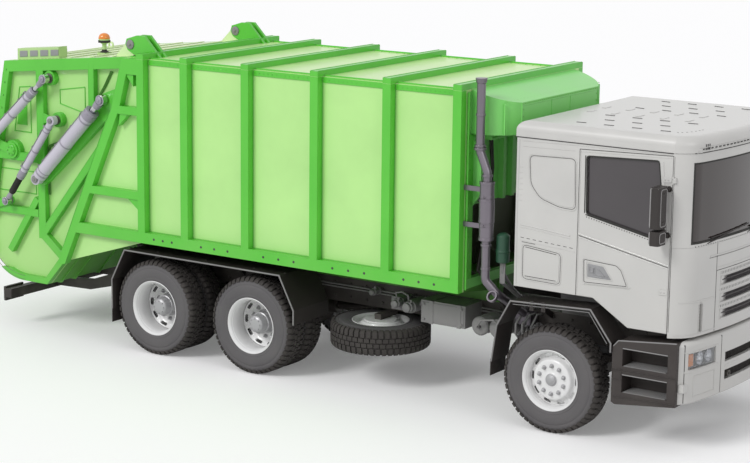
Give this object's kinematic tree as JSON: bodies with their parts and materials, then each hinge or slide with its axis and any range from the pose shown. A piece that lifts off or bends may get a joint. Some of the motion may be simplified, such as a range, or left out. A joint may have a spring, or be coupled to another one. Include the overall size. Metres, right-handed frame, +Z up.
{
  "type": "rear loading garbage truck",
  "caption": "Three axle rear loading garbage truck with a ribbed green body, a lifting tailgate with packer cylinders and a pale grey cab",
  "frame": {"origin": "on the ground, below the middle of the truck's length and width", "axes": "+X points forward to the cab, +Y to the truck's left side, +Z up"},
  "size_m": [9.4, 2.88, 3.555],
  "materials": {
    "body_green_light": "smooth gloss pale green sheet",
    "rib_green": "smooth gloss green steel section",
    "cab_grey": "smooth gloss pale grey sheet",
    "frame_black": "satin black chassis steel",
    "grey_fittings": "satin grey tanks and boxes",
    "tyre_rubber": "matt black rubber",
    "rim_white": "gloss white wheel steel",
    "dark_glass": "smooth tinted glass",
    "lamp_glass": "clear lamp lens",
    "exhaust_steel": "dull heat stained steel",
    "cylinder_grey": "satin pale grey cylinder paint",
    "rod_chrome": "polished chrome rod",
    "black_plastic": "matt black moulded plastic",
    "seat_fabric": "woven dark grey fabric",
    "worn_steel": "worn bare steel"
  },
  "bodies": {
    "truck": {"chassis_frame": "frame_black", "crossmembers": "frame_black", "lift_brackets": "rib_green", "front_axle": "frame_black", "rear_axles": "frame_black", "engine_block": "worn_steel", "tanks_and_boxes": "grey_fittings", "spare_wheel": "tyre_rubber", "mudguards": "black_plastic", "entry_steps": "black_plastic", "front_bumper": "cab_grey", "head_lamps": "lamp_glass", "exhaust_stack": "exhaust_steel", "rear_underrun": "frame_black", "body_sides": "rib_green", "body_roof": "body_green_light", "body_floor": "rib_green", "body_front": "body_green_light"},
    "ejector": {"ejector_plate": "rib_green"},
    "cab": {"cab_shell": "cab_grey", "cab_front": "cab_grey", "windscreen": "dark_glass", "cab_roof": "cab_grey", "dashboard": "black_plastic", "seats": "seat_fabric"},
    "tailgate": {"tailgate_sides": "rib_green", "tailgate_pins": "worn_steel", "tailgate_roof": "body_green_light", "hopper_trough": "worn_steel", "roof_equipment": "rib_green"},
    "lift_barrel_pair": {"lift_barrels": "cylinder_grey"},
    "lift_rod_pair": {"lift_rods": "rod_chrome"},
    "carrier": {"packer_carrier": "rib_green"},
    "packing_barrel_pair": {"packing_barrels": "cylinder_grey"},
    "packing_rod_pair": {"packing_rods": "rod_chrome"},
    "blade": {"packer_blade": "worn_steel"},
    "lifter": {"bin_lifter": "rib_green"},
    "bin_barrel_pair": {"bin_barrels": "cylinder_grey"},
    "bin_rod_pair": {"bin_rods": "rod_chrome"},
    "right_door": {"door_right": "cab_grey", "door_glass_right": "dark_glass", "mirror_right": "black_plastic"},
    "right_knuckle": {"knuckle_right": "frame_black"},
    "front_right_wheel": {"front_tyre_right": "tyre_rubber", "front_rim_right": "rim_white"},
    "drive_right_wheels": {"drive_tyres_right": "tyre_rubber", "drive_rims_right": "rim_white"},
    "rear_right_wheels": {"rear_tyres_right": "tyre_rubber", "rear_rims_right": "rim_white"},
    "left_door": {"door_left": "cab_grey", "door_glass_left": "dark_glass", "mirror_left": "black_plastic"},
    "left_knuckle": {"knuckle_left": "frame_black"},
    "front_left_wheel": {"front_tyre_left": "tyre_rubber", "front_rim_left": "rim_white"},
    "drive_left_wheels": {"drive_tyres_left": "tyre_rubber", "drive_rims_left": "rim_white"},
    "rear_left_wheels": {"rear_tyres_left": "tyre_rubber", "rear_rims_left": "rim_white"}
  },
  "joints": [
    {"name": "cab_tilt", "type": "hinge", "parent": "truck", "child": "cab", "pos_m": [4.53, 0, 0.94], "axis": [0, 1, 0], "range_deg": [0, 60]},
    {"name": "ejector_slide", "type": "slide", "parent": "truck", "child": "ejector", "axis": [-1, 0, 0], "range_m": [0, 3.6]},
    {"name": "right_door_swing", "type": "hinge", "parent": "cab", "child": "right_door", "pos_m": [4.402, -1.206, 2], "axis": [0, 0, 1], "range_deg": [0, 70]},
    {"name": "right_steering", "type": "hinge", "parent": "truck", "child": "right_knuckle", "pos_m": [3.16, -0.87, 0.54], "axis": [0, 0, 1], "range_deg": [-38, 38]},
    {"name": "front_right_spin", "type": "hinge", "parent": "right_knuckle", "child": "front_right_wheel", "pos_m": [3.16, -1.07, 0.54], "axis": [0, 1, 0], "continuous": true},
    {"name": "drive_right_spin", "type": "hinge", "parent": "truck", "child": "drive_right_wheels", "pos_m": [-0.54, -0.915, 0.54], "axis": [0, 1, 0], "continuous": true},
    {"name": "rear_right_spin", "type": "hinge", "parent": "truck", "child": "rear_right_wheels", "pos_m": [-1.89, -0.915, 0.54], "axis": [0, 1, 0], "continuous": true},
    {"name": "left_door_swing", "type": "hinge", "parent": "cab", "child": "left_door", "pos_m": [4.402, 1.206, 2], "axis": [0, 0, -1], "range_deg": [0, 70]},
    {"name": "left_steering", "type": "hinge", "parent": "truck", "child": "left_knuckle", "pos_m": [3.16, 0.87, 0.54], "axis": [0, 0, 1], "range_deg": [-38, 38]},
    {"name": "front_left_spin", "type": "hinge", "parent": "left_knuckle", "child": "front_left_wheel", "pos_m": [3.16, 1.07, 0.54], "axis": [0, 1, 0], "continuous": true},
    {"name": "drive_left_spin", "type": "hinge", "parent": "truck", "child": "drive_left_wheels", "pos_m": [-0.54, 0.915, 0.54], "axis": [0, 1, 0], "continuous": true},
    {"name": "rear_left_spin", "type": "hinge", "parent": "truck", "child": "rear_left_wheels", "pos_m": [-1.89, 0.915, 0.54], "axis": [0, 1, 0], "continuous": true},
    {"name": "tailgate_lift", "type": "hinge", "parent": "truck", "child": "tailgate", "pos_m": [-2.36, 0, 3.45], "axis": [0, 1, 0], "range_deg": [0, 80]},
    {"name": "lift_barrel_swing", "type": "hinge", "parent": "tailgate", "child": "lift_barrel_pair", "pos_m": [-3.64, 0, 1.82], "axis": [0, 1, 0], "range_deg": [0, 12]},
    {"name": "lift_rod_slide", "type": "slide", "parent": "lift_barrel_pair", "child": "lift_rod_pair", "axis": [0.7071, 0, 0.7071], "range_m": [0, 0.827]},
    {"name": "carrier_swing", "type": "hinge", "parent": "tailgate", "child": "carrier", "pos_m": [-4.1, 0, 2.1], "axis": [0, -1, 0], "range_deg": [0, 40]},
    {"name": "packing_barrel_swing", "type": "hinge", "parent": "carrier", "child": "packing_barrel_pair", "pos_m": [-4.4, 0, 2.192], "axis": [0, 1, 0], "range_deg": [0, 34]},
    {"name": "packing_rod_slide", "type": "slide", "parent": "packing_barrel_pair", "child": "packing_rod_pair", "axis": [0.7482, 0, 0.6634], "range_m": [0, 0.154]},
    {"name": "blade_swing", "type": "hinge", "parent": "carrier", "child": "blade", "pos_m": [-3.96, 0, 1.18], "axis": [0, 1, 0], "range_deg": [0, 150]},
    {"name": "lifter_swing", "type": "hinge", "parent": "tailgate", "child": "lifter", "pos_m": [-4.42, 0, 1.42], "axis": [0, 1, 0], "range_deg": [0, 110]},
    {"name": "bin_barrel_swing", "type": "hinge", "parent": "tailgate", "child": "bin_barrel_pair", "pos_m": [-3.39, 0, 2.52], "axis": [0, 1, 0], "range_deg": [-1, 2]},
    {"name": "bin_rod_slide", "type": "slide", "parent": "bin_barrel_pair", "child": "bin_rod_pair", "axis": [-0.5887, 0, -0.8084], "range_m": [0, 0.511]}
  ],
  "couplings": [
    {"joint": "left_steering", "follows": "right_steering", "ratio": 1},
    {"joint": "lift_barrel_swing", "follows": "tailgate_lift", "ratio": 0.13862},
    {"joint": "lift_rod_slide", "follows": "tailgate_lift", "m_per_rad": 0.58522},
    {"joint": "packing_barrel_swing", "follows": "carrier_swing", "ratio": 0.82121},
    {"joint": "packing_rod_slide", "follows": "carrier_swing", "m_per_rad": 0.20688},
    {"joint": "bin_barrel_swing", "follows": "lifter_swing", "ratio": 0.00577},
    {"joint": "bin_rod_slide", "follows": "lifter_swing", "m_per_rad": 0.26092}
  ]
}
